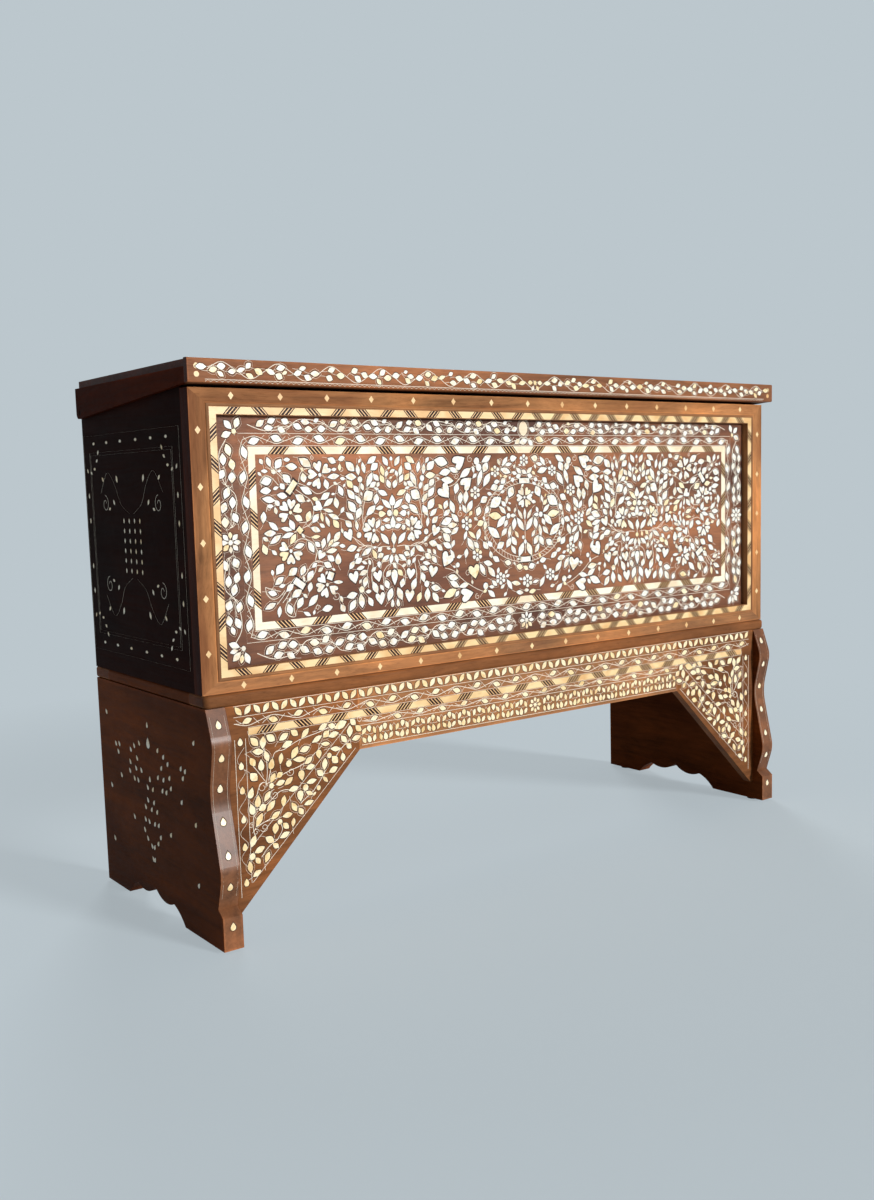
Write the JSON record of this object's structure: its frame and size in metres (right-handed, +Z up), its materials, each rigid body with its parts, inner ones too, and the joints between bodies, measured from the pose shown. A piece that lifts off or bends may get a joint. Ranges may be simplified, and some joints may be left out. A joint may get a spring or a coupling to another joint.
{
  "type": "inlaid dowry chest on stand",
  "caption": "Walnut chest on a bracketed stand with scroll-cut end boards, a pin-hinged lid, and a framed front inlaid with bone zigzag bands and pearl flowers.",
  "frame": {"origin": "on the floor, at the middle of the bounding box seen from above", "axes": "+X along the chest's width to the right as seen from the front, +Y towards the back, +Z up; the front faces -Y"},
  "size_m": [1.444, 0.508, 0.9744],
  "materials": {
    "frame_walnut": "satin oiled",
    "panel_walnut": "satin oiled",
    "case_walnut": "satin oiled",
    "lid_walnut": "satin oiled",
    "stand_walnut": "satin oiled",
    "pin_wood": "matte",
    "striped_wood": "satin",
    "bone": "polished",
    "pearl": "polished",
    "glide": "matte"
  },
  "bodies": {
    "chest": {"apron_bone_zigzag": "bone", "apron_bracket_left": "stand_walnut", "apron_bracket_right": "stand_walnut", "apron_rail": "stand_walnut", "apron_striped_blocks": "striped_wood", "case_back_lower": "case_walnut", "case_back_upper": "case_walnut", "case_floor": "case_walnut", "case_side_left": "case_walnut", "case_side_right": "case_walnut", "foot_glides": "glide", "front_panel": "panel_walnut", "front_rail_bottom": "frame_walnut", "front_rail_bottom_pearl_diamonds": "pearl", "front_rail_top": "frame_walnut", "front_rail_top_pearl_diamonds": "pearl", "front_stile_left": "frame_walnut", "front_stile_left_pearl_diamonds": "pearl", "front_stile_right": "frame_walnut", "front_stile_right_pearl_diamonds": "pearl", "hinge_pin_left": "pin_wood", "hinge_pin_right": "pin_wood", "moulding_bone_zigzag": "bone", "moulding_bottom": "frame_walnut", "moulding_left": "frame_walnut", "moulding_right": "frame_walnut", "moulding_striped_blocks": "striped_wood", "moulding_top": "frame_walnut", "panel_bone_zigzag": "bone", "panel_oval_pearl": "pearl", "panel_striped_blocks": "striped_wood", "stand_back_rail": "stand_walnut", "stand_end_left": "stand_walnut", "stand_end_right": "stand_walnut", "stand_glue_blocks": "stand_walnut", "stand_ledge_back": "stand_walnut", "stand_ledge_front": "stand_walnut", "stand_ledge_left": "stand_walnut", "stand_ledge_right": "stand_walnut"},
    "lid": {"lid_batten_left": "lid_walnut", "lid_batten_right": "lid_walnut", "lid_board_back": "lid_walnut", "lid_board_front": "lid_walnut", "lid_board_middle": "lid_walnut", "lid_cleat_left": "lid_walnut", "lid_cleat_right": "lid_walnut", "lid_front_lip": "lid_walnut", "lid_pearl_dots": "pearl"}
  },
  "joints": [
    {"name": "lid_hinge", "type": "hinge", "parent": "chest", "child": "lid", "pos_m": [0, 0.237, 0.915], "axis": [-1, 0, 0], "range_deg": [0, 98]}
  ]
}
